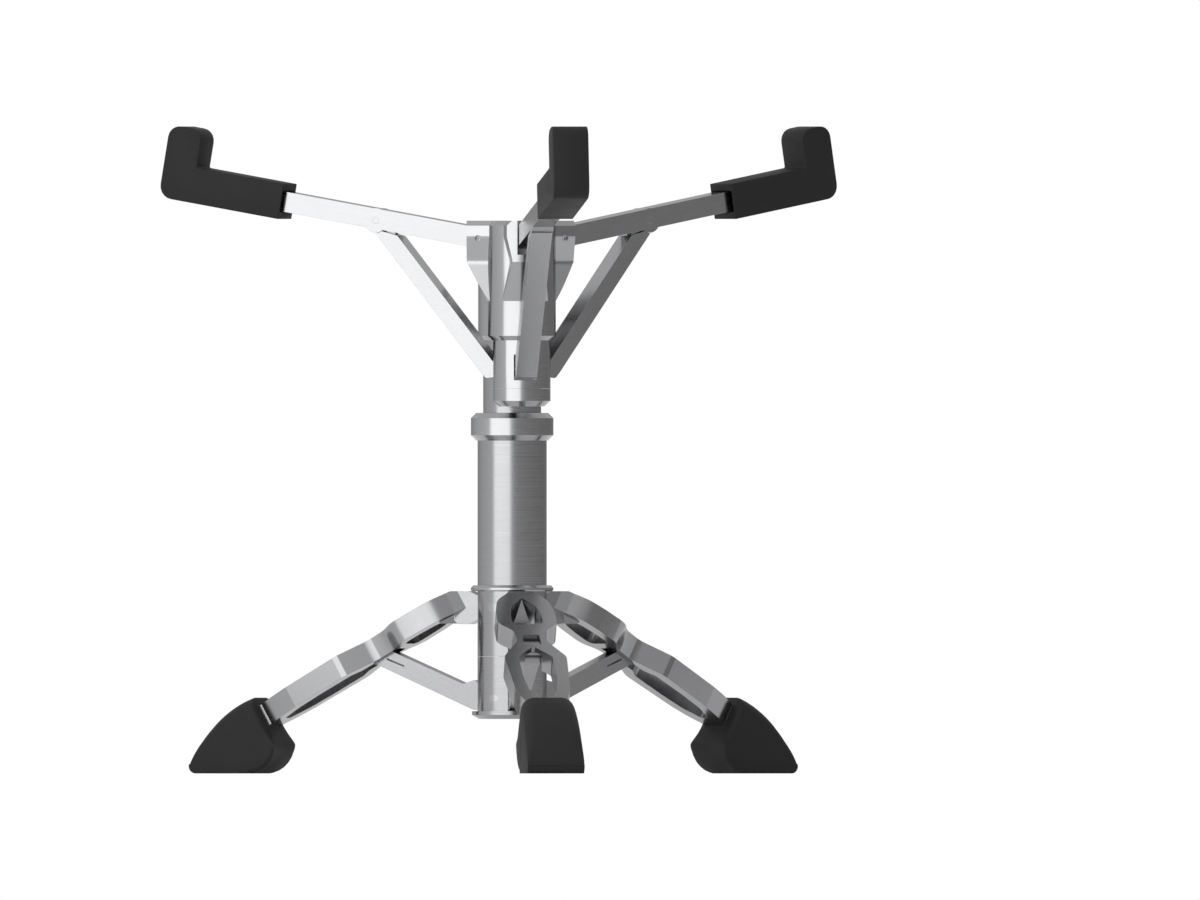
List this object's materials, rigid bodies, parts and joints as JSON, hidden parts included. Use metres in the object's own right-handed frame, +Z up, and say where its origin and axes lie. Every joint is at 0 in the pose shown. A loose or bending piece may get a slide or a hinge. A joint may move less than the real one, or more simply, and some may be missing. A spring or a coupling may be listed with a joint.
{
  "type": "snare drum stand",
  "caption": "Small snare drum stand: folding tripod with rubber feet, telescopic post, tilting basket whose arms grip a drum.",
  "frame": {"origin": "middle of the footprint box on the floor", "axes": "+Z up, the front leg and the front arm point along -Y, +X to the right"},
  "size_m": [0.1226, 0.1169, 0.116],
  "materials": {
    "turned_metal": "satin, turned and brushed round the axis",
    "plate_metal": "satin, brushed along the plate",
    "pins": "satin",
    "knobs": "satin",
    "plastic": "matte",
    "rubber": "matte black"
  },
  "bodies": {
    "post": {"outer_tube": "turned_metal", "clamp_collar": "turned_metal", "clamp_bushing": "plastic", "flange_ring": "turned_metal", "leg_hub": "turned_metal", "leg_hinge_pins": "pins"},
    "height_screw": {"height_wing_screw": "knobs"},
    "leg_front": {"leg_front": "plate_metal", "foot_front": "rubber", "knee_pin_front": "pins"},
    "leg_left": {"leg_left": "plate_metal", "foot_left": "rubber", "knee_pin_left": "pins"},
    "leg_right": {"leg_right": "plate_metal", "foot_right": "rubber", "knee_pin_right": "pins"},
    "strut_front": {"strut_front": "plate_metal"},
    "strut_left": {"strut_left": "plate_metal"},
    "strut_right": {"strut_right": "plate_metal"},
    "collar": {"lower_collar": "turned_metal", "guide_rod": "pins", "strut_hinge_pins": "pins"},
    "inner_post": {"inner_tube": "turned_metal", "tube_plug": "plastic"},
    "tilter": {"tilter_bracket": "turned_metal", "tilt_bolt": "pins", "tilt_washer": "plastic"},
    "tilt_nut": {"tilt_wing_nut": "knobs"},
    "basket": {"basket_hub": "turned_metal", "spindle": "pins", "arm_hinge_pins": "pins"},
    "sleeve": {"grip_sleeve": "turned_metal", "brace_foot_pins": "pins"},
    "nut": {"grip_nut": "turned_metal"},
    "arm_front": {"arm_front": "plate_metal", "pad_front": "rubber", "brace_pin_front": "pins"},
    "arm_left": {"arm_left": "plate_metal", "pad_left": "rubber", "brace_pin_left": "pins"},
    "arm_right": {"arm_right": "plate_metal", "pad_right": "rubber", "brace_pin_right": "pins"},
    "brace_front": {"brace_front": "plate_metal"},
    "brace_left": {"brace_left": "plate_metal"},
    "brace_right": {"brace_right": "plate_metal"}
  },
  "joints": [
    {"name": "leg_front_fold", "type": "hinge", "parent": "post", "child": "leg_front", "pos_m": [0, 0.01911, 0.02972], "axis": [1, 0, 0], "range_deg": [0, 50]},
    {"name": "leg_left_fold", "type": "hinge", "parent": "post", "child": "leg_left", "pos_m": [-0.00398, 0.02601, 0.02972], "axis": [-0.5, -0.866, 0], "range_deg": [0, 50]},
    {"name": "leg_right_fold", "type": "hinge", "parent": "post", "child": "leg_right", "pos_m": [0.00398, 0.02601, 0.02972], "axis": [-0.5, 0.866, 0], "range_deg": [0, 50]},
    {"name": "strut_front_fold", "type": "hinge", "parent": "leg_front", "child": "strut_front", "pos_m": [0, -0.00191, 0.0216], "axis": [1, 0, 0], "range_deg": [-101, 1]},
    {"name": "strut_left_fold", "type": "hinge", "parent": "leg_left", "child": "strut_left", "pos_m": [-0.02219, 0.03652, 0.0216], "axis": [-0.5, -0.866, 0], "range_deg": [-101, 1]},
    {"name": "strut_right_fold", "type": "hinge", "parent": "leg_right", "child": "strut_right", "pos_m": [0.02219, 0.03652, 0.0216], "axis": [-0.5, 0.866, 0], "range_deg": [-101, 1]},
    {"name": "collar_drop", "type": "hinge", "parent": "strut_front", "child": "collar", "pos_m": [0, 0.01911, 0.01347], "axis": [1, 0, 0], "range_deg": [-1, 51]},
    {"name": "height_slide", "type": "slide", "parent": "post", "child": "inner_post", "axis": [0, 0, 1], "range_m": [0, 0.018]},
    {"name": "height_screw_turn", "type": "hinge", "parent": "post", "child": "height_screw", "pos_m": [0, 0.03171, 0.06215], "axis": [0, 1, 0], "range_deg": [-90, 90]},
    {"name": "swivel", "type": "hinge", "parent": "inner_post", "child": "tilter", "pos_m": [0, 0.02371, 0.07762], "axis": [0, 0, 1], "continuous": true},
    {"name": "tilt", "type": "hinge", "parent": "tilter", "child": "basket", "pos_m": [0, 0.01651, 0.09247], "axis": [0, -1, 0], "range_deg": [-15, 15]},
    {"name": "tilt_nut_turn", "type": "hinge", "parent": "tilter", "child": "tilt_nut", "pos_m": [0, 0.02971, 0.09247], "axis": [0, 1, 0], "range_deg": [-90, 90]},
    {"name": "arm_front_grip", "type": "hinge", "parent": "basket", "child": "arm_front", "pos_m": [0, 0.00361, 0.09587], "axis": [-1, 0, 0], "range_deg": [-8, 6]},
    {"name": "arm_left_grip", "type": "hinge", "parent": "basket", "child": "arm_left", "pos_m": [-0.00598, 0.01396, 0.09587], "axis": [0.5, 0.866, 0], "range_deg": [-8, 6]},
    {"name": "arm_right_grip", "type": "hinge", "parent": "basket", "child": "arm_right", "pos_m": [0.00598, 0.01396, 0.09587], "axis": [0.5, -0.866, 0], "range_deg": [-8, 6]},
    {"name": "brace_front_swing", "type": "hinge", "parent": "arm_front", "child": "brace_front", "pos_m": [0, -0.01704, 0.09911], "axis": [-1, 0, 0], "range_deg": [-6, 8]},
    {"name": "brace_left_swing", "type": "hinge", "parent": "arm_left", "child": "brace_left", "pos_m": [-0.02386, 0.02429, 0.09911], "axis": [0.5, 0.866, 0], "range_deg": [-6, 8]},
    {"name": "brace_right_swing", "type": "hinge", "parent": "arm_right", "child": "brace_right", "pos_m": [0.02386, 0.02429, 0.09911], "axis": [0.5, -0.866, 0], "range_deg": [-6, 8]},
    {"name": "sleeve_slide", "type": "slide", "parent": "basket", "child": "sleeve", "axis": [0, 0, 1], "range_m": [-0.0026, 0.002]},
    {"name": "grip_nut_turn", "type": "hinge", "parent": "sleeve", "child": "nut", "pos_m": [0, 0.01051, 0.06897], "axis": [0, 0, 1], "range_deg": [-460, 345]}
  ],
  "couplings": [
    {"joint": "leg_left_fold", "follows": "leg_front_fold", "ratio": 1},
    {"joint": "leg_right_fold", "follows": "leg_front_fold", "ratio": 1},
    {"joint": "strut_front_fold", "follows": "leg_front_fold", "ratio": -2},
    {"joint": "strut_left_fold", "follows": "leg_front_fold", "ratio": -2},
    {"joint": "strut_right_fold", "follows": "leg_front_fold", "ratio": -2},
    {"joint": "collar_drop", "follows": "leg_front_fold", "ratio": 1},
    {"joint": "arm_left_grip", "follows": "arm_front_grip", "ratio": 1},
    {"joint": "arm_right_grip", "follows": "arm_front_grip", "ratio": 1},
    {"joint": "brace_front_swing", "follows": "arm_front_grip", "ratio": -0.8898},
    {"joint": "brace_left_swing", "follows": "arm_front_grip", "ratio": -0.8898},
    {"joint": "brace_right_swing", "follows": "arm_front_grip", "ratio": -0.8898},
    {"joint": "sleeve_slide", "follows": "arm_front_grip", "m_per_rad": 0.018136},
    {"joint": "grip_nut_turn", "follows": "arm_front_grip", "ratio": 56.975}
  ]
}
